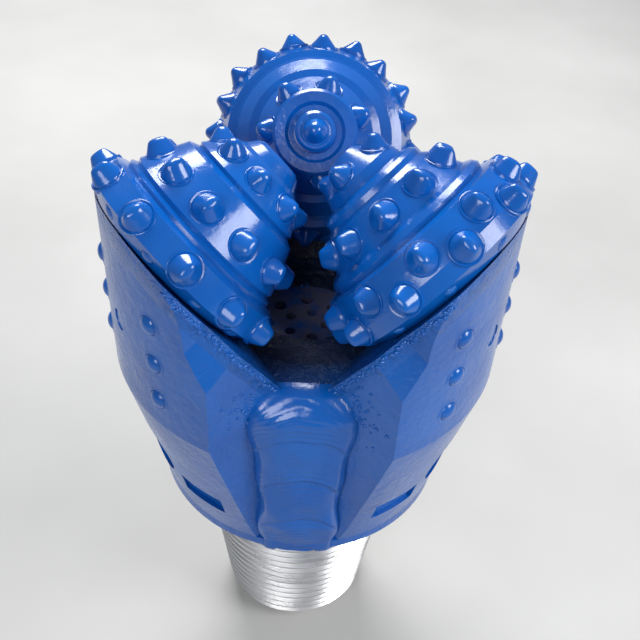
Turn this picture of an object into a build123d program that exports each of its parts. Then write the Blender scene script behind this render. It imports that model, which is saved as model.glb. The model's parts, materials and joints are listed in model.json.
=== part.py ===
"""Insert-type tricone drill bit, 6 in (152.4 mm), stood on its threaded pin with the cones up.

Millimetres. Z is the bit's axis and the origin is the middle of the pin's end face. Each journal
leans in from its leg and up, and the three journal axes cross the bit's axis at one point, the
crossing. In a journal's own frame, d is the distance out from the crossing along the journal, and
r the distance from its axis.
"""

import os
from math import atan2, cos, degrees, pi, radians, sin, tan

from build123d import *

os.makedirs("parts", exist_ok=True)

# ---------------------------------------------------------------- driving dimensions
bit_diameter = 152.4
journal_angle = 35.5
make_up_height = 158.2  # from the shoulder to the crossing
leg_relief = 1.8  # how far the leg's back lies inside the hole's wall

pin_length = 95.25  # rotary shouldered pin, 5 threads per inch
pin_base_diameter = 88.9
pin_taper = 1 / 4  # change of diameter over length
thread_height = 2.6
pin_nose_chamfer = 3.0
relief_groove_width = 9.0
relief_groove_depth = 1.6
water_bore_diameter = 40.0
body_bore_diameter = 44.0  # above the shoulder

shoulder_diameter = 119.0
shoulder_bevel = 3.0
shank_height = 7.0  # straight part above the shoulder
shank_taper_height = 62.0
crown_height = 84.0  # above the shoulder
screen_seat_depth = 18.0
screen_seat_diameter = 48.0

valley_radius = 50.0  # bottom of the groove between two legs, under the weld
seam_edge_radius = 58.5  # where a leg's flank meets the weld
seam_half_width = 19.0
weld_top_radius = 62.5
leg_back_half_angle = 34.0
shirttail_radius = 36.0
shirttail_spread = 34.0  # how far each side of the leg widens at its foot
shirttail_root = 20.0  # how far below the crown the shirttail runs into the body

back_face = 68.0  # d of the cone's back face
leg_gap = 0.6  # between that face and the leg
sweep_radius = 46.0  # cleared in the body for the turning teeth
sweep_start = 20.0

running_gap = 0.05  # radial, journal bearing
fit_gap = 0.03  # radial, pressed or seated pieces

journal_radius = 18.5
journal_inner_end = 51.0
pilot_radius = 10.0
pilot_end = 34.5
end_play = 0.3
bush_wall = 2.2
seal_width = 3.4
seal_depth = 2.6  # of the gland in the cone
seal_distance = 63.0
seal_chamfer = 0.8

ball_hole_radius = 3.9
ball_hole_inner = (journal_inner_end + 4, -13.0)  # d and r of its ends
ball_hole_outer = (90.0, -4.0)
plug_gap = 0.1

reservoir_radius = 12.5
reservoir_depth = 7.5
reservoir_height = 34.0  # above the shoulder
reservoir_cap_height = 5.0

slot_height = 25.0  # bit-breaker slots, above the shoulder
slot_angle = 24.0
slot_width = 20.0
slot_drop = 10.0
slot_depth = 3.2
snap_ring_wire = 1.2

insert_radius = 4.5  # the outer rows' chisel inserts
insert_grip = 5.5
insert_crown = 4.8
crest_half_width = 1.2
crown_tip_radius = 2.4
small_insert_radius = 4.0  # the inner rows' rounded inserts
small_insert_grip = 5.0
small_insert_crown = 4.6
small_insert_tip = 1.5
trim_radius = 2.6  # flush compacts on the cone's gauge bevel
trim_grip = 3.5
trim_dome = 0.7
compact_radius = 3.8  # domed compacts on the leg
compact_grip = 4.0
compact_dome = 1.8
insert_sides = 12  # flats round every insert and its hole


# ---------------------------------------------------------------- sizes that follow
gauge_radius = bit_diameter / 2
leg_radius = gauge_radius - leg_relief
shoulder_radius = shoulder_diameter / 2
shoulder_z = pin_length
crown_z = shoulder_z + crown_height
crossing_z = shoulder_z + make_up_height
leg_face = back_face + leg_gap
pin_base_radius = pin_base_diameter / 2
water_bore_radius = water_bore_diameter / 2
body_bore_radius = body_bore_diameter / 2
lean = radians(journal_angle)


def pin_radius(z, depth=0.0):
    """Radius of the tapered pin at height z, depth inside its crests."""
    return pin_base_radius - (pin_length - z) * pin_taper / 2 - depth


# ---------------------------------------------------------------- frames
def outward(azimuth):
    """Direction of a journal, out from the crossing and down."""
    a = radians(azimuth)
    return Vector(cos(a) * cos(lean), sin(a) * cos(lean), -sin(lean))


def upward(azimuth):
    """Direction square to a journal, out and up towards the hole's bottom corner."""
    a = radians(azimuth)
    return Vector(cos(a) * sin(lean), sin(a) * sin(lean), cos(lean))


crossing = Vector(0, 0, crossing_z)


def section_plane(azimuth):
    """Plane of a journal and the bit's axis: x is d and y is r."""
    return Plane(crossing, x_dir=outward(azimuth), z_dir=outward(azimuth).cross(upward(azimuth)))


def square_plane(azimuth, d):
    """Plane square to a journal at d: x points up and out."""
    return Plane(crossing + outward(azimuth) * d, x_dir=upward(azimuth), z_dir=outward(azimuth))


def journal_axis(azimuth):
    return Axis(crossing, outward(azimuth))


def polar(radius, angle):
    return (radius * cos(radians(angle)), radius * sin(radians(angle)))


def ring_place(azimuth, d, r, tilt, turn):
    """Place on a cone at d, r and turn about its axis, facing out and tilted towards the nose."""
    out, up = outward(azimuth), upward(azimuth)
    side = out.cross(up)
    spoke = up * cos(turn) + side * sin(turn)
    facing = spoke * cos(radians(tilt)) - out * sin(radians(tilt))
    around = side * cos(turn) - up * sin(turn)
    return Location(Plane(crossing + out * d + spoke * r, x_dir=around, z_dir=facing))


# ---------------------------------------------------------------- the cones' outlines and rows
# Each row: name, d, r at the insert's foot, tilt towards the nose, count, turn of the first one.
# Each outline runs from the nose to the edge of the back face, in d and r.
bevel = [(64.0, 38.8), (back_face, 32.5)]
trim_inset = (2.2, 3.46)  # trim compacts, from the bevel's outer corner in d and r
cones = {
    "back": dict(
        azimuth=90,
        outline=[
            (14.0, 0), (14.0, 6.2), (15.0, 7.2), (18.6, 7.6), (18.6, 9.6), (17.4, 10.8), (17.4, 14.2),
            (18.4, 15.2), (21.0, 15.2), (29.6, 21.2), (31.2, 21.6), (32.2, 24.4), (38.6, 29.2),
            (39.8, 28.4), (41.0, 30.6), (42.2, 30.2), (43.4, 33.4), (60.5, 38.8), *bevel,
        ],
        rows=[
            ("nose", 14.0, 0.0, 90, 1, 0),
            ("inner", 23.8, 16.9, 35, 7, 14.8),
            ("middle", 52.5, 36.3, 18, 10, 2.9),
            ("outer", 60.3, 38.7, 5, 10, 21.4),
        ],
    ),
    "left": dict(
        azimuth=210,
        outline=[
            (16.0, 0), (16.0, 7.5), (17.4, 9.6), (20.6, 11.8), (22.0, 14.0), (30.2, 20.9),
            (31.4, 21.8), (32.6, 21.2), (34.2, 24.6), (49.6, 31.6), (51.0, 30.9), (52.2, 33.0),
            (53.4, 32.8), (54.8, 36.6), (60.2, 38.0), *bevel,
        ],
        rows=[
            ("inner", 26.0, 17.4, 40, 8, -6),
            ("middle", 43.2, 28.6, 25, 11, 24.4),
            ("outer", 60.0, 37.9, 8, 11, 9.1),
        ],
    ),
    "right": dict(
        azimuth=330,
        outline=[
            (13.0, 0), (13.0, 5.0), (14.8, 6.9), (21.2, 14.2), (25.0, 15.4), (26.0, 18.4),
            (27.4, 19.9), (29.4, 20.0), (31.2, 22.0), (41.6, 28.2), (42.8, 30.8), (44.6, 32.2),
            (46.2, 31.8), (47.4, 36.0), (52.5, 37.7), (58.5, 39.2), *bevel,
        ],
        rows=[
            ("inner", 18.2, 10.8, 50, 4, 75),
            ("middle", 36.1, 24.9, 30, 10, 20.3),
            ("second", 52.4, 37.6, 18, 10, 17.7),
            ("outer", 58.6, 39.2, 6, 10, 0.1),
        ],
    ),
}
trim_place = dict(d=bevel[0][0] + trim_inset[0], r=bevel[0][1] - trim_inset[1], tilt=-57.6)

# ---------------------------------------------------------------- inserts, made once and placed
def shank(radius, grip, above=0.0):
    """Insert's gripped end, or with above the hole that takes it. Flats stand for the round."""
    with BuildPart() as prism:
        with BuildSketch(Plane.XY.offset(-grip)):
            RegularPolygon(radius, insert_sides)
        extrude(amount=grip + above)
    return prism


def tapered_crown(base, tip, height):
    with BuildPart() as crown:
        with BuildSketch(Plane.XY):
            RegularPolygon(base, insert_sides)
        slope = atan2((base - tip) * cos(pi / insert_sides), height)
        extrude(amount=height, taper=degrees(slope))
    return crown


with BuildPart() as chisel_insert:
    add(shank(insert_radius, insert_grip).part)
    add(tapered_crown(insert_radius, crown_tip_radius, insert_crown).part)
    with BuildSketch(Plane.XZ):
        with BuildLine():
            Polyline(
                (-insert_radius, -insert_grip), (-insert_radius, insert_crown * 0.15),
                (-crest_half_width, insert_crown), (crest_half_width, insert_crown),
                (insert_radius, insert_crown * 0.15), (insert_radius, -insert_grip), close=True,
            )
        make_face()
    extrude(amount=insert_radius, both=True, mode=Mode.INTERSECT)

with BuildPart() as small_insert:
    add(shank(small_insert_radius, small_insert_grip).part)
    add(tapered_crown(small_insert_radius, small_insert_tip, small_insert_crown).part)

with BuildPart() as trim_compact:
    add(shank(trim_radius, trim_grip).part)
    add(tapered_crown(trim_radius, trim_radius * 0.6, trim_dome).part)

with BuildPart() as leg_compact:
    add(shank(compact_radius, compact_grip).part)
    add(tapered_crown(compact_radius, compact_radius * 0.45, compact_dome).part)

insert_hole = shank(insert_radius + fit_gap, insert_grip + fit_gap, 8)
small_insert_hole = shank(small_insert_radius + fit_gap, small_insert_grip + fit_gap, 8)
trim_hole = shank(trim_radius + fit_gap, trim_grip + fit_gap, 3)
leg_compact_hole = shank(compact_radius + fit_gap, compact_grip + fit_gap, 3)


def save(piece, name):
    piece.part.label = name
    export_step(piece.part, f"parts/{name}.step")


def row_places(azimuth, d, r, tilt, count, first):
    return [
        ring_place(azimuth, d, r, tilt, radians(first + 360 / count * i)) for i in range(count)
    ]


# ---------------------------------------------------------------- a cone's cavity
def cone_cavity(azimuth):
    """Journal bore and seal gland, as one solid to take out of a cone."""
    bore = journal_radius + bush_wall + 2 * running_gap
    pilot_bore = pilot_radius + running_gap
    with BuildPart() as cavity:
        with BuildSketch(section_plane(azimuth)):
            with BuildLine():
                Polyline(
                    (pilot_end - 0.5, 0), (pilot_end - 0.5, pilot_bore),
                    (journal_inner_end - end_play, pilot_bore),
                    (journal_inner_end - end_play, bore), (back_face + 1, bore),
                    (back_face + 1, 0), close=True,
                )
            make_face()
            with Locations((seal_distance, bore + seal_depth / 2 - 0.5)):
                Rectangle(seal_width + 0.4, seal_depth + 1.0)
        revolve(axis=journal_axis(azimuth))
    return cavity


def make_cone(side, spec):
    azimuth = spec["azimuth"]
    outer_row = spec["rows"][-1]
    trim_places = row_places(
        azimuth, *trim_place.values(), outer_row[4], outer_row[5] + 180 / outer_row[4]
    )
    with BuildPart() as cone:
        with BuildSketch(section_plane(azimuth)):
            with BuildLine():
                Polyline(*spec["outline"], (back_face, 0), close=True)
            make_face()
        revolve(axis=journal_axis(azimuth))
        add(cone_cavity(azimuth).part, mode=Mode.SUBTRACT)
        for name, *place in spec["rows"]:
            hole = small_insert_hole if name in ("nose", "inner") else insert_hole
            with Locations(*row_places(azimuth, *place)):
                add(hole.part, mode=Mode.SUBTRACT)
        with Locations(*trim_places):
            add(trim_hole.part, mode=Mode.SUBTRACT)
    save(cone, f"cone_{side}")
    for name, *place in spec["rows"]:
        with BuildPart() as row:
            with Locations(*row_places(azimuth, *place)):
                add(small_insert.part if name in ("nose", "inner") else chisel_insert.part)
        save(row, f"{name}_inserts_{side}" if name != "nose" else "nose_insert")
    with BuildPart() as trim_row:
        with Locations(*trim_places):
            add(trim_compact.part)
    save(trim_row, f"gauge_compacts_{side}")


# ---------------------------------------------------------------- bearings between cone and leg
def make_bearings(side, azimuth):
    axis, plane = journal_axis(azimuth), section_plane(azimuth)
    with BuildPart() as bush:
        with BuildSketch(plane):
            with Locations(((journal_inner_end + seal_distance - seal_width / 2 - 1) / 2,
                            journal_radius + running_gap + bush_wall / 2)):
                Rectangle(seal_distance - seal_width / 2 - 1 - journal_inner_end, bush_wall)
        revolve(axis=axis)
    save(bush, f"journal_bush_{side}")
    seal_inner = journal_radius + running_gap
    seal_outer = journal_radius + bush_wall + 2 * running_gap + seal_depth - fit_gap
    with BuildPart() as seal:
        with BuildSketch(plane) as seal_section:
            with Locations((seal_distance, (seal_inner + seal_outer) / 2)):
                Rectangle(seal_width, seal_outer - seal_inner)
            chamfer(seal_section.vertices(), seal_chamfer)
        revolve(axis=axis)
    save(seal, f"seal_ring_{side}")

# ---------------------------------------------------------------- a leg with its third of the pin
def leg_silhouette():
    """Half outline of the body, pin and water bore, to turn about the bit's axis."""
    taper_top = shoulder_z + shank_height + shank_taper_height
    groove_low = shoulder_z - relief_groove_width
    with BuildLine(Plane.XZ) as outline:
        Polyline(
            (water_bore_radius, 0),
            (pin_radius(0, thread_height + pin_nose_chamfer / 2), 0),
            (pin_radius(pin_nose_chamfer, thread_height), pin_nose_chamfer),
            (pin_radius(groove_low, thread_height), groove_low),
            (pin_radius(groove_low, thread_height + relief_groove_depth), groove_low + 2),
            (pin_radius(shoulder_z, thread_height + relief_groove_depth), shoulder_z - 1.5),
            (pin_radius(shoulder_z, thread_height), shoulder_z),
            (shoulder_radius - shoulder_bevel, shoulder_z),
            (shoulder_radius, shoulder_z + shoulder_bevel),
            (shoulder_radius, shoulder_z + shank_height),
            (leg_radius, taper_top),
            (leg_radius, crossing_z),
            (screen_seat_diameter / 2, crossing_z),
            (screen_seat_diameter / 2, crown_z - screen_seat_depth),
            (body_bore_radius, crown_z - screen_seat_depth), (body_bore_radius, shoulder_z),
            (water_bore_radius, shoulder_z), close=True,
        )
    return outline


def seam_edge(seam_azimuth, side):
    """Where a leg's flank meets the weld, on one side of the seam."""
    a = radians(seam_azimuth)
    x = seam_edge_radius * cos(a) - side * seam_half_width * sin(a)
    y = seam_edge_radius * sin(a) + side * seam_half_width * cos(a)
    return (x, y)


def leg_section(azimuth):
    """Cross-section of one leg: round back, flat flanks and its 120 degrees of the middle."""
    half = leg_back_half_angle
    reach = leg_radius + 2
    with BuildSketch(Plane.XY) as section:
        with BuildLine():
            Polyline(
                polar(reach, azimuth - half), seam_edge(azimuth - 60, 1),
                polar(valley_radius, azimuth - 60), (0, 0), polar(valley_radius, azimuth + 60),
                seam_edge(azimuth + 60, -1), polar(reach, azimuth + half),
            )
            ThreePointArc(
                polar(reach, azimuth + half), polar(reach, azimuth), polar(reach, azimuth - half)
            )
        make_face()
    return section


def ball_hole_frame(azimuth):
    """Plane outside the leg at the ball hole's mouth, looking in along the hole."""
    plane = section_plane(azimuth)
    inner_point = plane.from_local_coords(Vector(*ball_hole_inner, 0))
    outer_point = plane.from_local_coords(Vector(*ball_hole_outer, 0))
    return Plane(outer_point, z_dir=inner_point - outer_point), (inner_point - outer_point).length


def compact_places(azimuth):
    """Places of the hard compacts on the leg's back, in two columns along the shirttail's edges."""
    places = []
    for side in (-1, 1):
        for i in range(3):
            angle = azimuth + side * (17 + i * 0.5)
            z = crossing_z - 43.5 - 16.5 * i
            x, y = polar(leg_radius, angle)
            direction = Vector(x, y, 0).normalized()
            places.append(Location(Plane((x, y, z), z_dir=direction)))
    return places


def body_radius(z):
    """Radius of the leg's back at height z, above the straight part of the shank."""
    share = (z - shoulder_z - shank_height) / shank_taper_height
    return shoulder_radius + (leg_radius - shoulder_radius) * min(max(share, 0), 1)


def reservoir_plane(azimuth):
    z = shoulder_z + reservoir_height
    x, y = polar(body_radius(z - reservoir_radius), azimuth)
    return Plane((x, y, z), z_dir=Vector(-x, -y, 0))


def slot_places(azimuth):
    """Bit-breaker slots, one near each side of the leg just above the shoulder."""
    z = shoulder_z + slot_height
    places = []
    for side in (-1, 1):
        x, y = polar(body_radius(z), azimuth + side * slot_angle)
        places.append(Location(Plane((x, y, z), x_dir=Vector(-y, x, 0), z_dir=Vector(x, y, 0))))
    return places


def make_leg(side, azimuth):
    axis = journal_axis(azimuth)
    with BuildPart() as pin_third:
        with BuildSketch(Plane.XZ):
            add(leg_silhouette().line)
            make_face()
        revolve(axis=Axis.Z)
    with BuildPart() as leg:
        add(pin_third.part)
        # the leg's own third: full wedge below the shoulder, shaped section above
        with BuildSketch(Plane.XY) as wedge:
            with BuildLine():
                Polyline(
                    (0, 0), polar(2 * leg_radius, azimuth - 60), polar(2 * leg_radius, azimuth),
                    polar(2 * leg_radius, azimuth + 60), close=True,
                )
            make_face()
        extrude(amount=crossing_z, mode=Mode.INTERSECT)
        with BuildPart(mode=Mode.INTERSECT):
            add(extrude(wedge.sketch, amount=shoulder_z + shank_height, mode=Mode.PRIVATE))
            with BuildSketch(Plane.XY.offset(shoulder_z)):
                add(leg_section(azimuth).sketch)
            extrude(amount=crown_z - shoulder_z)
            with BuildPart(mode=Mode.ADD):
                with BuildSketch(square_plane(azimuth, leg_face)):
                    Circle(shirttail_radius)
                    with BuildLine():
                        Polyline(
                            (0, shirttail_radius), (-2 * shirttail_radius,
                                                    shirttail_radius + shirttail_spread),
                            (-2 * shirttail_radius, -shirttail_radius - shirttail_spread),
                            (0, -shirttail_radius), close=True,
                        )
                    make_face()
                extrude(amount=60)
                with BuildSketch(Plane.XY.offset(crown_z - shirttail_root)):
                    add(leg_section(azimuth).sketch)
                extrude(amount=crossing_z - crown_z + shirttail_root, mode=Mode.INTERSECT)
        for turning in (90, 210, 330):
            with BuildSketch(square_plane(turning, sweep_start)):
                Circle(sweep_radius)
            extrude(amount=leg_face - sweep_start, mode=Mode.SUBTRACT)
        # the journal, turned on the leg
        with BuildSketch(section_plane(azimuth)):
            with BuildLine():
                Polyline(
                    (pilot_end, 0), (pilot_end, pilot_radius - 0.8),
                    (pilot_end + 0.8, pilot_radius), (journal_inner_end, pilot_radius),
                    (journal_inner_end, journal_radius - 0.8),
                    (journal_inner_end + 0.8, journal_radius), (leg_face + 4, journal_radius),
                    (leg_face + 4, 0), close=True,
                )
            make_face()
        revolve(axis=axis)
        # ball hole, grease pocket and the drilled passage between them
        mouth, depth = ball_hole_frame(azimuth)
        with BuildSketch(mouth.offset(-20)):
            Circle(ball_hole_radius)
        extrude(amount=20 + depth, mode=Mode.SUBTRACT)
        with BuildSketch(reservoir_plane(azimuth).offset(-10)):
            Circle(reservoir_radius)
        extrude(amount=10 + reservoir_depth, mode=Mode.SUBTRACT)
        with Locations(*slot_places(azimuth)):
            Box(slot_width, slot_drop, 2 * slot_depth, mode=Mode.SUBTRACT)
        # hard compacts on the back
        with Locations(*compact_places(azimuth)):
            add(leg_compact_hole.part, mode=Mode.SUBTRACT)
    save(leg, f"leg_{side}")
    with BuildPart() as compacts:
        with Locations(*compact_places(azimuth)):
            add(leg_compact.part)
    save(compacts, f"leg_compacts_{side}")
    with BuildPart() as plug:
        with BuildSketch(mouth.offset(-20)):
            Circle(ball_hole_radius - plug_gap)
        extrude(amount=20 + depth - 0.3)
        with BuildSketch(Plane.XY.offset(shoulder_z)):
            Circle(leg_radius - 0.4)
        extrude(amount=crossing_z - shoulder_z, mode=Mode.INTERSECT)
    save(plug, f"ball_plug_{side}")


def make_reservoir(side, azimuth):
    plane = reservoir_plane(azimuth)
    cap_face = 2.5
    with BuildPart() as cap:
        with BuildSketch(plane.offset(cap_face)):
            Circle(reservoir_radius - fit_gap)
        extrude(amount=reservoir_cap_height)
        with BuildSketch(plane.offset(cap_face)):
            Circle(2.2)
        extrude(amount=reservoir_cap_height, mode=Mode.SUBTRACT)
    save(cap, f"reservoir_cap_{side}")
    with BuildPart() as ring:
        with BuildSketch(plane.offset(cap_face - snap_ring_wire)):
            Circle(reservoir_radius - fit_gap)
            Circle(reservoir_radius - 2.2, mode=Mode.SUBTRACT)
        extrude(amount=snap_ring_wire)
    save(ring, f"snap_ring_{side}")


def make_weld(side, azimuth):
    """Weld run in the groove between the leg at this azimuth and the next one round."""
    with BuildPart() as body:
        with BuildSketch(Plane.XZ):
            add(leg_silhouette().line)
            make_face()
        revolve(axis=Axis.Z)
    with BuildPart() as weld:
        with BuildSketch(Plane.XY.offset(shoulder_z + shank_height)):
            seam = azimuth + 60
            with BuildLine():
                Polyline(seam_edge(seam, -1), polar(valley_radius, seam), seam_edge(seam, 1))
                ThreePointArc(
                    seam_edge(seam, 1), polar(weld_top_radius, seam), seam_edge(seam, -1)
                )
            make_face()
        extrude(amount=crown_height - shank_height)
        add(body.part, mode=Mode.INTERSECT)
    save(weld, f"weld_{side}")


def make_screen():
    with BuildPart() as screen:
        with BuildSketch(Plane.XY.offset(crown_z - screen_seat_depth)):
            Circle(screen_seat_diameter / 2 - fit_gap)
            with PolarLocations(screen_seat_diameter * 0.32, 8):
                RegularPolygon(2.8, 8, mode=Mode.SUBTRACT)
            with PolarLocations(screen_seat_diameter * 0.16, 5):
                RegularPolygon(2.2, 8, mode=Mode.SUBTRACT)
        extrude(amount=4)
    save(screen, "centre_screen")


for side, spec in cones.items():
    make_cone(side, spec)
    make_bearings(side, spec["azimuth"])
    make_leg(side, spec["azimuth"])
    make_reservoir(side, spec["azimuth"])
    make_weld(side, spec["azimuth"])
make_screen()
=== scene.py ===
"""Looks of an insert-type tricone drill bit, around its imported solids. Metres, Z up."""

import json
import math
import random

import bmesh
import bpy
from mathutils import Matrix, Vector
from mathutils.bvhtree import BVHTree
from mathutils.noise import noise as wave

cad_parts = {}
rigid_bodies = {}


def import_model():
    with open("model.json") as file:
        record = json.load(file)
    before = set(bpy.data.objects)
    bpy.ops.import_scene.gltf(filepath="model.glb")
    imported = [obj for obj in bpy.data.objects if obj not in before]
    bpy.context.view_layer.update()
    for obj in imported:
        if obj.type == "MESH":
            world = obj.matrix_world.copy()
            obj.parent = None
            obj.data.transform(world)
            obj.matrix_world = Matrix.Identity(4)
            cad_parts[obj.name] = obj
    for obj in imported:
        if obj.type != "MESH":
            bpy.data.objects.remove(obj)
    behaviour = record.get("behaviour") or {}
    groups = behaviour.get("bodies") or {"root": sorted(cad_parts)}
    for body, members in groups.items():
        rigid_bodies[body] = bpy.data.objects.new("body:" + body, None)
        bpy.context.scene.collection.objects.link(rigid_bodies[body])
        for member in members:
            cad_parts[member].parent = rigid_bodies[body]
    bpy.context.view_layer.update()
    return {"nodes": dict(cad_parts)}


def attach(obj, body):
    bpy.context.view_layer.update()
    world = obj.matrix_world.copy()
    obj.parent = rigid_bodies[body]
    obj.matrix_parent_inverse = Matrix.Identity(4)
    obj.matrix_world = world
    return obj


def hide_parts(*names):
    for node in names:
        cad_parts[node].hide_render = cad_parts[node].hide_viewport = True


for leftover in list(bpy.data.objects):
    bpy.data.objects.remove(leftover)
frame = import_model()
nodes = frame["nodes"]

# ---------------------------------------------------------------- legs
# Three forged steel legs with their thirds of the body and pin, welded together. The body is
# sprayed glossy blue after assembly and the pin is left bare, as machined.
mm = 0.001
journal_lean = math.radians(35.5)
crossing = Vector((0, 0, 0.25345))  # where the three journals' axes meet
leg_turns = {"back": 90, "left": 210, "right": 330}
leg_face = 0.0686  # beside the cone, out along the journal
shoulder_height = 0.09525
paint_end = 0.0016  # the paint runs this far below the shoulder and fades out
paint_fade = 0.0004
paint_blue = (0.002, 0.105, 0.44, 1)
paint_deep = (0.001, 0.070, 0.33, 1)
# painted shade for the hollow under the cones
pocket_shade_colour = (0.002, 0.010, 0.040, 1)
pocket_shade_radii = (0.036, 0.054)  # between these radii the blue darkens towards the bit's axis, painted shade in the hollow under the cones
hard_metal_band = (0.0019, 0.0059)  # beyond the leg's face, where its rough skin fades


def node_tree(name):
    material = bpy.data.materials.new(name)
    material.use_nodes = True
    tree = material.node_tree
    shader = tree.nodes["Principled BSDF"]
    place = tree.nodes.new("ShaderNodeTexCoord")
    return material, tree, shader, place.outputs["Object"]


def noise(tree, place, scale, detail=3.0, roughness=0.5):
    texture = tree.nodes.new("ShaderNodeTexNoise")
    texture.inputs["Scale"].default_value = scale
    texture.inputs["Detail"].default_value = detail
    texture.inputs["Roughness"].default_value = roughness
    tree.links.new(place, texture.inputs["Vector"])
    return texture.outputs["Fac"]


def ramp(tree, value, low, high, first, last):
    steps = tree.nodes.new("ShaderNodeValToRGB")
    steps.color_ramp.elements[0].position = low
    steps.color_ramp.elements[1].position = high
    steps.color_ramp.elements[0].color = first
    steps.color_ramp.elements[1].color = last
    tree.links.new(value, steps.inputs["Fac"])
    return steps.outputs["Color"]


def span(tree, value, low, high, first, last):
    turn = tree.nodes.new("ShaderNodeMapRange")
    turn.inputs["From Min"].default_value = low
    turn.inputs["From Max"].default_value = high
    turn.inputs["To Min"].default_value = first
    turn.inputs["To Max"].default_value = last
    tree.links.new(value, turn.inputs["Value"])
    return turn.outputs["Result"]


def bump(tree, shader, height, strength, distance, under=None):
    relief = tree.nodes.new("ShaderNodeBump")
    relief.inputs["Strength"].default_value = strength
    relief.inputs["Distance"].default_value = distance
    tree.links.new(height, relief.inputs["Height"])
    if under is not None:
        tree.links.new(under, relief.inputs["Normal"])
    tree.links.new(relief.outputs["Normal"], shader.inputs["Normal"])
    return relief.outputs["Normal"]


def feed(tree, socket, value):
    """Link a socket into this one, or set it to a constant."""
    if isinstance(value, bpy.types.NodeSocket):
        tree.links.new(value, socket)
    else:
        socket.default_value = value


def reckon(tree, operation, first, second):
    reckoning = tree.nodes.new("ShaderNodeMath")
    reckoning.operation = operation
    feed(tree, reckoning.inputs[0], first)
    feed(tree, reckoning.inputs[1], second)
    return reckoning.outputs["Value"]


def mixed(tree, factor, first, last):
    blend = tree.nodes.new("ShaderNodeMix")
    blend.data_type = "RGBA"
    tree.links.new(factor, blend.inputs["Factor"])
    feed(tree, blend.inputs["A"], first)
    feed(tree, blend.inputs["B"], last)
    return blend.outputs["Result"]


def stretched(tree, place, factors):
    stretch = tree.nodes.new("ShaderNodeVectorMath")
    stretch.operation = "MULTIPLY"
    stretch.inputs[1].default_value = factors
    tree.links.new(place, stretch.inputs[0])
    return stretch.outputs["Vector"]


def sprayed_paint(name, rough, casting):
    """Glossy sprayed paint over steel: flow marks, fine orange peel and the metal's own grain."""
    material, tree, shader, place = node_tree(name)
    colour = ramp(tree, noise(tree, place, 28, 4), 0.3, 0.7, paint_deep, paint_blue)
    tree.links.new(colour, shader.inputs["Base Color"])
    sheen = span(tree, noise(tree, place, 60, 3), 0.3, 0.7, rough - 0.05, rough + 0.09)
    tree.links.new(sheen, shader.inputs["Roughness"])
    grain = bump(tree, shader, noise(tree, place, 260, 4, 0.55), casting, 0.0008)
    bump(tree, shader, noise(tree, place, 900, 2), 0.08, 0.0003, grain)
    shader.inputs["Coat Weight"].default_value = 0.15
    shader.inputs["Coat Roughness"].default_value = 0.12
    return material


def journal_frame(side):
    """Directions of a journal: out along it, up square to it, and sideways."""
    turn = math.radians(leg_turns[side])
    level = Vector((math.cos(turn), math.sin(turn), 0))
    out = level * math.cos(journal_lean) - Vector((0, 0, math.sin(journal_lean)))
    up = level * math.sin(journal_lean) + Vector((0, 0, math.cos(journal_lean)))
    return out, up, out.cross(up)


def along_journals(tree, place):
    """How far a point lies out along the nearest journal, from the crossing."""
    farthest = None
    for side in leg_turns:
        dot = tree.nodes.new("ShaderNodeVectorMath")
        dot.operation = "DOT_PRODUCT"
        dot.inputs[1].default_value = journal_frame(side)[0]
        tree.links.new(place, dot.inputs[0])
        along = dot.outputs["Value"]
        farthest = along if farthest is None else reckon(tree, "MAXIMUM", farthest, along)
    return reckon(tree, "ADD", farthest, crossing.z * math.sin(journal_lean))


def lathe_marks(tree, place):
    """Places stretched along the axis, so that noise on them runs round the pin."""
    return stretched(tree, place, (1, 1, 90))


def leg_finish():
    material = sprayed_paint("blue_body_and_bare_pin", 0.25, 0.6)
    tree = material.node_tree
    shader = tree.nodes["Principled BSDF"]
    place = next(n for n in tree.nodes if n.type == "TEX_COORD").outputs["Object"]
    # hard metal laid by hand along the leg's edge beside the cone
    near, far = (leg_face + reach for reach in hard_metal_band)
    beside = span(tree, along_journals(tree, place), near, far, 1, 0)
    lumps = reckon(tree, "MULTIPLY", beside, noise(tree, place, 240, 4, 0.65))
    under = shader.inputs["Normal"].links[0].from_socket
    bump(tree, shader, lumps, 1.0, 0.0030, under)
    # painted shade: towards the bit's axis the blue darkens to near black, standing in for the
    # shade in the hollow under the cones
    radius = tree.nodes.new("ShaderNodeVectorMath")
    radius.operation = "LENGTH"
    tree.links.new(stretched(tree, place, (1, 1, 0)), radius.inputs[0])
    blue = shader.inputs["Base Color"].links[0].from_socket
    out_of_shade = span(tree, radius.outputs["Value"], *pocket_shade_radii, 0, 1)
    blue_with_shade = mixed(tree, out_of_shade, pocket_shade_colour, blue)
    # the paint stops at the shoulder and the pin below it is turned steel
    parts = tree.nodes.new("ShaderNodeSeparateXYZ")
    tree.links.new(place, parts.inputs["Vector"])
    edge = shoulder_height - paint_end
    painted = span(tree, parts.outputs["Z"], edge, edge + paint_fade, 0, 1)
    marks = noise(tree, lathe_marks(tree, place), 12, 2)
    steel = ramp(tree, marks, 0.3, 0.7, (0.6, 0.6, 0.61, 1), (0.78, 0.78, 0.79, 1))
    tree.links.new(mixed(tree, painted, steel, blue_with_shade), shader.inputs["Base Color"])
    tree.links.new(span(tree, painted, 0, 1, 1, 0), shader.inputs["Metallic"])
    return material


def finish_nodes(material, *names):
    for name in names:
        mesh = nodes[name].data
        if not mesh.materials:
            mesh.materials.append(material)
        for i in range(len(mesh.materials)):
            mesh.materials[i] = material


leg_paint = leg_finish()
finish_nodes(leg_paint, "leg_back", "leg_left", "leg_right")

# ---------------------------------------------------------------- cones
# Three forged steel cones, each with its own rows, turned with lands and grooves and sprayed with
# the legs. The paint is thicker and smoother here, so it shines more.
cone_paint = sprayed_paint("blue_cone_paint", 0.19, 0.16)
finish_nodes(cone_paint, "cone_back", "cone_left", "cone_right")

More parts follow.
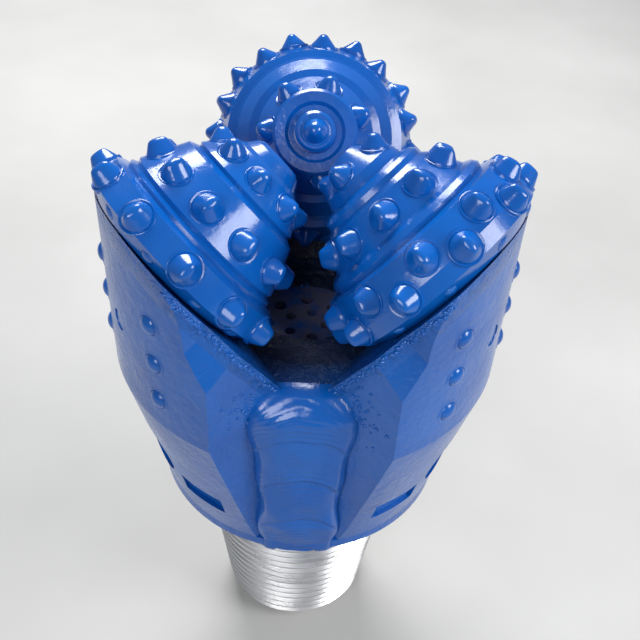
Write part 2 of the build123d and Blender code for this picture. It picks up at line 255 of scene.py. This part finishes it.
# ---------------------------------------------------------------- pressed-in teeth
# Tungsten carbide inserts pressed into drilled and spot-faced holes, then painted over with the
# cone. The outer rows have blunt chisel crests and the inner rows have rounded points.
chisel = [
    (0, 4.9), (1.5, 4.86), (2.5, 4.6), (3.1, 4.1), (3.6, 3.2), (4.2, 2.0), (4.75, 0.9),
    (5.0, 0.3), (5.05, -0.3), (4.46, -0.7), (4.46, -5.3), (0, -5.3),
]
rounded = [
    (0, 4.7), (0.9, 4.58), (1.7, 4.2), (2.3, 3.55), (3.0, 2.5), (3.75, 1.3), (4.3, 0.5),
    (4.5, 0.0), (4.5, -0.4), (3.96, -0.8), (3.96, -4.8), (0, -4.8),
]
trim = [(0, 0.7), (1.0, 0.62), (1.8, 0.38), (2.4, 0.05), (2.58, -0.4), (2.58, -3.3), (0, -3.3)]
crest_height = 0.0048
crest_squeeze = 0.5  # share of a chisel's thickness that is gone at its crest
chisel_lip_radius, rounded_lip_radius = 5.8, 5.25
trim_place = (66.2, 35.34, -57.6)
# each row: cone, profile, mm out along the journal and off it, tilt, count, turn of the first
tooth_rows = {
    "nose_insert": ("back", rounded, 14.0, 0.0, 90, 1, 0),
    "inner_inserts_back": ("back", rounded, 23.8, 16.9, 35, 7, 14.8),
    "middle_inserts_back": ("back", chisel, 52.5, 36.3, 18, 10, 2.9),
    "outer_inserts_back": ("back", chisel, 60.3, 38.7, 5, 10, 21.4),
    "gauge_compacts_back": ("back", trim, *trim_place, 10, 21.4 + 180 / 10),
    "inner_inserts_left": ("left", rounded, 26.0, 17.4, 40, 8, -6),
    "middle_inserts_left": ("left", chisel, 43.2, 28.6, 25, 11, 24.4),
    "outer_inserts_left": ("left", chisel, 60.0, 37.9, 8, 11, 9.1),
    "gauge_compacts_left": ("left", trim, *trim_place, 11, 9.1 + 180 / 11),
    "inner_inserts_right": ("right", rounded, 18.2, 10.8, 50, 4, 75),
    "middle_inserts_right": ("right", chisel, 36.1, 24.9, 30, 10, 20.3),
    "second_inserts_right": ("right", chisel, 52.4, 37.6, 18, 10, 17.7),
    "outer_inserts_right": ("right", chisel, 58.6, 39.2, 6, 10, 0.1),
    "gauge_compacts_right": ("right", trim, *trim_place, 10, 0.1 + 180 / 10),
}


def hole_matrix(side, out_mm, off_mm, tilt, turn):
    """Where an insert's hole opens on a cone, its z leaving the cone."""
    out, up, side_way = journal_frame(side)
    turn, tilt = math.radians(turn), math.radians(tilt)
    spoke = up * math.cos(turn) + side_way * math.sin(turn)
    facing = spoke * math.cos(tilt) - out * math.sin(tilt)
    around = side_way * math.cos(turn) - up * math.sin(turn)
    matrix = Matrix((around, facing.cross(around), facing)).transposed().to_4x4()
    matrix.translation = crossing + (out * out_mm + spoke * off_mm) * mm
    return matrix


def turned(profile, segments):
    """Solid of revolution from (radius, height) in mm, its poles and seam closed."""
    shape = bmesh.new()
    points = [shape.verts.new((r * mm, 0, z * mm)) for r, z in profile]
    edges = [shape.edges.new(pair) for pair in zip(points, points[1:])]
    bmesh.ops.spin(
        shape, geom=points + edges, cent=(0, 0, 0), axis=(0, 0, 1), angle=math.tau,
        steps=segments, use_merge=True,
    )
    bmesh.ops.remove_doubles(shape, verts=shape.verts, dist=1e-6)
    bmesh.ops.recalc_face_normals(shape, faces=shape.faces)
    return shape


def placed(template, matrices):
    """One mesh of the template at every place. The template is used up."""
    shape = bmesh.new()
    for matrix in matrices:
        copy = bpy.data.meshes.new("copy")
        template.to_mesh(copy)
        copy.transform(matrix)
        shape.from_mesh(copy)
        bpy.data.meshes.remove(copy)
    template.free()
    return shape


def piece(name, shape, material, body, slot, *stands_for, smooth_angle=38):
    mesh = bpy.data.meshes.new(name)
    for face in shape.faces:
        face.smooth = True
    for edge in shape.edges:
        if len(edge.link_faces) == 2 and edge.calc_face_angle(0) > math.radians(smooth_angle):
            edge.smooth = False
    shape.to_mesh(mesh)
    shape.free()
    mesh.materials.append(material)
    made = bpy.data.objects.new(name, mesh)
    bpy.context.collection.objects.link(made)
    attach(made, body)
    if stands_for:
        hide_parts(*stands_for)


def tooth(profile):
    """An insert, its crown squeezed to a crest if it is a chisel."""
    shape = turned(profile, 24)
    if profile is chisel:
        for vert in shape.verts:
            if vert.co.z > 0:
                squeeze = 1 - crest_squeeze * min(vert.co.z / crest_height, 1) ** 1.3
                vert.co.x *= squeeze
    return shape


def spot_face(radius):
    """Thin lip that the facing cutter leaves round an insert's hole."""
    inside = (radius - 0.8, -0.1)
    lip = [(radius - 0.45, 0.0), (radius - 0.2, 0.1), (radius, 0.0), (radius + 0.1, -0.5)]
    foot = [(radius + 0.1, -1.6), (radius - 0.8, -1.6)]
    return turned([inside, *lip, *foot, inside], 40)


insert_paint = sprayed_paint("blue_insert_paint", 0.16, 0.1)
for name, (side, profile, out_mm, off_mm, tilt, count, first) in tooth_rows.items():
    places = [
        hole_matrix(side, out_mm, off_mm, tilt, first + 360 / count * i) for i in range(count)
    ]
    body = "rolling_cone_" + side
    teeth = placed(tooth(profile), places)
    piece("teeth_" + name, teeth, insert_paint, body, "insert_paint", name)
    if profile is not trim:
        lips = placed(
            spot_face(chisel_lip_radius if profile is chisel else rounded_lip_radius), places
        )
        piece("spot_faces_" + name, lips, cone_paint, body, "cone_paint")

# ---------------------------------------------------------------- compacts on the legs' backs
# Short domed carbide compacts pressed into the leg's back, where it rubs the hole. Each stands in
# a low rim of the leg's own steel, and both are painted.
compact_dome = [
    (0, 1.8), (1.2, 1.68), (2.3, 1.28), (3.2, 0.6), (3.7, 0.0), (3.76, -0.4), (3.76, -3.8),
    (0, -3.8),
]
compact_rim = [
    (3.78, 0.02), (4.5, 0.12), (5.0, -0.1), (5.1, -0.6), (5.1, -1.4), (3.78, -1.4), (3.78, 0.02),
]
leg_radius = 0.0744
compacts_per_line = 3
compact_turn, compact_spread = 17, 0.5  # degrees off the leg's middle, and more for each lower one
compact_drop, compact_pitch = 0.0435, 0.0165  # below the crossing


def leg_back_matrix(side, offset, height):
    turn = math.radians(leg_turns[side] + offset)
    outwards = Vector((math.cos(turn), math.sin(turn), 0))
    across = Vector((-math.sin(turn), math.cos(turn), 0))
    matrix = Matrix((across, Vector((0, 0, 1)), outwards)).transposed().to_4x4()
    matrix.translation = outwards * leg_radius + Vector((0, 0, height))
    return matrix


compact_paint = sprayed_paint("blue_compact_paint", 0.16, 0.1)
for side in leg_turns:
    places = [
        leg_back_matrix(
            side, edge * (compact_turn + i * compact_spread),
            crossing.z - compact_drop - compact_pitch * i,
        )
        for edge in (-1, 1)
        for i in range(compacts_per_line)
    ]
    domes = placed(turned(compact_dome, 24), places)
    piece(
        "wear_compacts_" + side, domes, compact_paint, "bit_body", "leg_compact_paint",
        "leg_compacts_" + side,
    )
    rims = placed(turned(compact_rim, 32), places)
    piece("compact_rims_" + side, rims, leg_paint, "bit_body", "leg_paint_and_pin_steel")

# ---------------------------------------------------------------- weld runs
# The seams between the legs, filled by hand with weld from the shoulder up in layers of curved
# ripples, with a heavy lump at the top, and painted over. Sizes here are in mm.
seam_turns = {"left": 270, "right": 30, "back": 150}
shoulder_r, leg_r = 59.5, 74.4
taper_foot, taper_rise = 102.25, 62
weld_foot, weld_top = 97.0, 181.0
narrow_half_width, widening = 15.2, 4.0  # the run widens above a height
widen_from, widen_over = 135, 32
groove_r, crown_of_run = 58.6, 3.9
ripple_pitch, ripple_height = 2.4, 0.16
layer_pitch, layer_step = 22.0, 1.0
lump_height = 1.1
ripple_bow = 15  # rise of a ripple from its ends to its middle
top_lump_height, top_lump_sink = 9, 6.5  # the top of the run rounds over
top_lump_bow = 1.6
edge_sink = 1.3
standing_proud = 0.3
inner_face = 50


def share(value, start, length):
    """How far value has gone from start over length, from 0 to 1."""
    return min(max((value - start) / length, 0), 1)


def body_r(z):
    return shoulder_r + (leg_r - shoulder_r) * share(z, taper_foot, taper_rise)


def seam_frame(side):
    turn = math.radians(seam_turns[side])
    return Vector((math.cos(turn), math.sin(turn), 0)), Vector((-math.sin(turn), math.cos(turn), 0))


def weld_relief(side_mm, u, z, seed):
    """Ripples, layers and lumps over the smooth run, u going from -1 to 1 across it."""
    bow = z - ripple_bow * math.sqrt(1 - u * u * 0.96)
    bow += 0.9 * wave(Vector((side_mm / 7, z / 9, seed)))
    ripple = math.sin(math.tau * bow / ripple_pitch) * (0.6 + 0.4 * math.sin(bow / 5 + seed))
    layer = (bow + 5 * math.sin(seed)) / layer_pitch
    step = (layer - math.floor(layer)) ** 5
    lump = wave(Vector((side_mm / 10, z / 13, seed)))
    return ripple_height * ripple - layer_step * step + lump_height * lump


def weld_run(side, seed):
    """A grid laid over the groove, rippled like a weld laid by hand, then given its thickness."""
    shape = bmesh.new()
    bmesh.ops.create_grid(shape, x_segments=56, y_segments=190, size=1)
    outwards, across = seam_frame(side)
    for vert in shape.verts:
        u, v = vert.co.x, (vert.co.y + 1) / 2
        z = weld_foot + (weld_top - weld_foot) * v
        half_width = narrow_half_width + widening * share(z, widen_from, widen_over)
        side_mm = u * (half_width + 0.6 * math.sin(z / 4.3 + seed))
        arc = groove_r + crown_of_run * math.sqrt(1 - u * u * 0.98)
        limit = math.sqrt(max(body_r(z) ** 2 - side_mm * side_mm, 1))
        edge = min(1, (1 - abs(u)) * 6)
        out_mm = min(arc, limit) + standing_proud + edge * weld_relief(side_mm, u, z, seed)
        crown = max(0, (z - (weld_top - top_lump_height)) / top_lump_height)
        out_mm -= top_lump_sink * crown * crown
        out_mm -= (1 - edge) * edge_sink
        z += top_lump_bow * (1 - u * u) * crown
        vert.co = (outwards * out_mm + across * side_mm + Vector((0, 0, z))) * mm
    bmesh.ops.recalc_face_normals(shape, faces=shape.faces)
    shell = bmesh.ops.extrude_face_region(shape, geom=list(shape.faces))
    moved = [item for item in shell["geom"] if isinstance(item, bmesh.types.BMVert)]
    for vert in moved:
        vert.co -= outwards * (vert.co.dot(outwards) - inner_face * mm)
    bmesh.ops.recalc_face_normals(shape, faces=shape.faces)
    return shape


weld_paint = sprayed_paint("blue_weld_paint", 0.2, 0.3)
for side, seed in (("left", 0.7), ("right", 2.1), ("back", 4.4)):
    piece(
        "weld_run_" + side, weld_run(side, seed), weld_paint, "bit_body", "weld_paint",
        "weld_" + side, smooth_angle=80,
    )

# ---------------------------------------------------------------- hard metal on the legs' edges
# Rough beads of hard metal along the edge of each leg's face beside the cone, and the spatter that
# welding left round the top of each seam. They are fused to the legs and sprayed with them.
edge_bead_count, edge_sweep = 170, 244  # degrees round the journal
edge_beads_above = 0.165
spatter_count = 90
spatter_height, spatter_scatter = 0.1775, 0.006
spatter_from, spatter_reach = 0.0165, 0.0045  # sideways from the seam's middle
spatter_clearance = 0.0015  # kept off the leg's face
bead_from, bead_band = 0.0012, 0.0016  # beyond the leg's face
cast_from = 0.12


def leg_skin(side):
    """Search tree over a leg's own faces."""
    mesh = nodes["leg_" + side].data
    place = nodes["leg_" + side].matrix_world
    corners = [place @ vert.co for vert in mesh.vertices]
    return BVHTree.FromPolygons(corners, [list(face.vertices) for face in mesh.polygons])


def bead(shape, centre, normal, radius, squash):
    """One low drop of metal sunk into the leg's surface."""
    turn = normal.to_track_quat("Z", "Y").to_matrix().to_4x4()
    size = Matrix.Diagonal((radius, radius, radius * squash, 1))
    bmesh.ops.create_icosphere(
        shape, subdivisions=2, radius=1, matrix=Matrix.Translation(centre) @ turn @ size
    )


def edge_beads(side, seed):
    """Beads just outside the leg's face, laid by casting rays at the leg from outside."""
    dice = random.Random(seed)
    out, up, side_way = journal_frame(side)
    skin = leg_skin(side)
    shape = bmesh.new()
    for i in range(edge_bead_count):
        degrees = -edge_sweep / 2 + edge_sweep * i / (edge_bead_count - 1)
        turn = math.radians(degrees + dice.uniform(-0.6, 0.6))
        along = leg_face + bead_from + dice.uniform(0, bead_band)
        spoke = -up * math.cos(turn) + side_way * math.sin(turn)
        hit, normal, *_ = skin.ray_cast(crossing + out * along + spoke * cast_from, -spoke, 0.1)
        if hit is not None and hit.z >= edge_beads_above:
            bead(shape, hit, normal, dice.uniform(0.0007, 0.0010), dice.uniform(0.45, 0.7))
    return shape


def out_along_journal(point):
    """How far a point lies out along the nearest journal, from the crossing."""
    return max(journal_frame(side)[0].dot(point - crossing) for side in leg_turns)


def spatter(side, seed):
    """Droplets on both legs beside the top of a seam."""
    dice = random.Random(seed)
    outwards, across = seam_frame(side)
    skins = [leg_skin(leg) for leg in leg_turns]
    shape = bmesh.new()
    for _ in range(spatter_count):
        sideways = dice.choice((-1, 1)) * (spatter_from + abs(dice.gauss(0, spatter_reach)))
        height = dice.gauss(spatter_height, spatter_scatter)
        start = outwards * cast_from + across * sideways + Vector((0, 0, height))
        found = [skin.ray_cast(start, -outwards, 0.08) for skin in skins]
        found = [item for item in found if item[0] is not None]
        if not found:
            continue
        hit, normal, *_ = min(found, key=lambda item: item[3])
        if out_along_journal(hit) > leg_face + spatter_clearance:
            bead(shape, hit, normal, dice.uniform(0.0003, 0.0008), 0.8)
    return shape


bead_paint = sprayed_paint("blue_bead_paint", 0.13, 0.2)
for side, seed in (("back", 11), ("left", 12), ("right", 13)):
    piece(
        "edge_beads_" + side, edge_beads(side, seed), bead_paint, "bit_body",
        "leg_paint_and_pin_steel", smooth_angle=80,
    )
for side, seed in (("left", 31), ("right", 32), ("back", 33)):
    piece(
        "weld_spatter_" + side, spatter(side, seed), bead_paint, "bit_body", "weld_paint",
        smooth_angle=80,
    )

# ---------------------------------------------------------------- pin thread
# Tapered rotary thread, 5 to the inch and right-hand, cut on the bare steel pin.
thread_pitch, thread_start, thread_end = 0.00508, 0.0035, 0.0835
pin_base_radius = 0.04445
thread_height = 0.0026
pin_slope = 1 / 8  # change of radius over length
steps_per_turn = 56


def mottled(name, scale, detail, roughness, low, high, first, last):
    """Material whose colour drifts between two tones."""
    material, tree, shader, place = node_tree(name)
    tones = ramp(tree, noise(tree, place, scale, detail, roughness), low, high, first, last)
    tree.links.new(tones, shader.inputs["Base Color"])
    return material, tree, shader, place


def pin_thread():
    root = pin_base_radius - thread_height - (shoulder_height - thread_start) * pin_slope
    crest = root + 0.00245
    shape = bmesh.new()
    section = [
        (root - 0.0004, -0.00215), (root, -0.0019), (crest, -0.00048),
        (crest, 0.00048), (root, 0.0019), (root - 0.0004, 0.00215),
    ]
    corners = [shape.verts.new((r, 0, thread_start + z)) for r, z in section]
    face = shape.faces.new(corners)
    length = thread_end - thread_start
    turns = length / thread_pitch
    steps = int(turns * steps_per_turn)
    bmesh.ops.spin(
        shape, geom=[face], cent=(0, 0, 0), axis=(0, 0, 1), angle=math.tau * turns,
        dvec=(0, 0, length / steps), steps=steps,
    )
    for vert in shape.verts:
        r = math.hypot(vert.co.x, vert.co.y)
        above = vert.co.z - thread_start
        fade = max(0, min(1, above / 0.004, (thread_end + 0.001 - vert.co.z) / 0.006))
        wanted = root + above * pin_slope + (r - root) * fade
        vert.co.x *= wanted / r
        vert.co.y *= wanted / r
    bmesh.ops.remove_doubles(shape, verts=shape.verts, dist=1e-7)
    bmesh.ops.recalc_face_normals(shape, faces=shape.faces)
    return shape


thread_steel, tree, shader, place = node_tree("turned_pin_steel")
shader.inputs["Metallic"].default_value = 1
lathe = lathe_marks(tree, place)
bright = ramp(
    tree, noise(tree, lathe, 12, 2), 0.3, 0.7, (0.66, 0.66, 0.67, 1), (0.82, 0.82, 0.83, 1)
)
tree.links.new(bright, shader.inputs["Base Color"])
sheen = span(tree, noise(tree, place, 60, 3), 0.3, 0.7, 0.24, 0.34)
tree.links.new(sheen, shader.inputs["Roughness"])
bump(tree, shader, noise(tree, lathe, 25, 2), 0.1, 0.0002)
piece("pin_thread", pin_thread(), thread_steel, "bit_body", "leg_paint_and_pin_steel")

# ---------------------------------------------------------------- centre plate
# Perforated steel plate over the water course, dull and caught only by stray paint.
plate, tree, shader, place = mottled(
    "dull_plate", 110, 5, 0.65, 0.46, 0.66, (0.12, 0.12, 0.21, 1), (0.02, 0.09, 0.34, 1)
)
shader.inputs["Roughness"].default_value = 0.55
bump(tree, shader, noise(tree, place, 500, 4), 0.4, 0.0004)
finish_nodes(plate, "centre_screen")

# ---------------------------------------------------------------- small fittings on the legs
# Ball-hole plugs, grease caps and their snap rings. They are fitted before the bit is sprayed.
fitting_paint = sprayed_paint("blue_fitting_paint", 0.24, 0.3)
for side in leg_turns:
    finish_nodes(fitting_paint, "ball_plug_" + side, "reservoir_cap_" + side, "snap_ring_" + side)

# ---------------------------------------------------------------- hidden bearing parts
# Bronze journal bushes and nitrile seal rings, shut inside the cones.
bronze, tree, shader, place = mottled(
    "bearing_bronze", 200, 3, 0.5, 0.3, 0.7, (0.42, 0.27, 0.12, 1), (0.55, 0.38, 0.18, 1)
)
shader.inputs["Metallic"].default_value = 1
shader.inputs["Roughness"].default_value = 0.35
rubber, tree, shader, place = mottled(
    "seal_rubber", 300, 3, 0.5, 0.3, 0.7, (0.015, 0.015, 0.015, 1), (0.03, 0.03, 0.03, 1)
)
shader.inputs["Roughness"].default_value = 0.6
for side in leg_turns:
    finish_nodes(bronze, "journal_bush_" + side)
    finish_nodes(rubber, "seal_ring_" + side)

# ---------------------------------------------------------------- floor, light and camera
# A pale studio floor, and soft light from above and behind, from the right and from the front left.
# The camera looks down into the cones from the front.
lens_width = 36
lens_length = 49.9275
camera_distance = 0.35253
azimuth, elevation, roll = math.radians(-1.64), math.radians(41.15), math.radians(3.54)
aim = Vector((0.00537, 0, 0.16774))


def studio():
    floor_mesh = bpy.data.meshes.new("studio_floor")
    shape = bmesh.new()
    bmesh.ops.create_grid(shape, x_segments=2, y_segments=2, size=3)
    shape.to_mesh(floor_mesh)
    shape.free()
    floor = bpy.data.objects.new("studio_floor", floor_mesh)
    bpy.context.collection.objects.link(floor)
    material, tree, shader, place = mottled(
        "pale_floor", 5, 4, 0.5, 0.3, 0.7, (0.40, 0.40, 0.39, 1), (0.47, 0.47, 0.46, 1)
    )
    shader.inputs["Roughness"].default_value = 0.8
    floor_mesh.materials.append(material)


def soft_lamp(name, place, aim, size, power):
    lamp = bpy.data.lights.new(name, "AREA")
    lamp.size = size
    lamp.energy = power
    stand = bpy.data.objects.new(name, lamp)
    stand.location = place
    stand.rotation_euler = (Vector(aim) - Vector(place)).to_track_quat("-Z", "Y").to_euler()
    bpy.context.collection.objects.link(stand)


studio()
soft_lamp("overhead_softbox", (-0.15, 0.75, 1.0), (0, 0, 0.15), 0.6, 19)
soft_lamp("side_softbox", (0.85, -0.35, 0.75), (0, 0, 0.15), 0.5, 9)
soft_lamp("front_softbox", (-0.4, -1.0, 0.8), (0, 0, 0.12), 0.6, 7.5)
world = bpy.data.worlds.new("plain_studio")
bpy.context.scene.world = world
world.use_nodes = True
sky = world.node_tree.nodes["Background"]
sky.inputs["Color"].default_value = (0.9, 0.93, 1.0, 1)
sky.inputs["Strength"].default_value = 0.26

lens = bpy.data.cameras.new("product_camera")
lens.sensor_width = lens_width
lens.lens = lens_length
camera = bpy.data.objects.new("product_camera", lens)
bpy.context.collection.objects.link(camera)
level = Vector((math.cos(azimuth), math.sin(azimuth), 0))
behind = Vector((math.sin(azimuth), -math.cos(azimuth), 0))
back = behind * math.cos(elevation) + Vector((0, 0, math.sin(elevation)))
rise = back.cross(level)
right = level * math.cos(roll) + rise * math.sin(roll)
up = rise * math.cos(roll) - level * math.sin(roll)
turn = Matrix((right, up, back)).transposed().to_4x4()
camera.matrix_world = Matrix.Translation(aim + back * camera_distance) @ turn
bpy.context.scene.camera = camera
bpy.context.scene.view_settings.view_transform = "Standard"
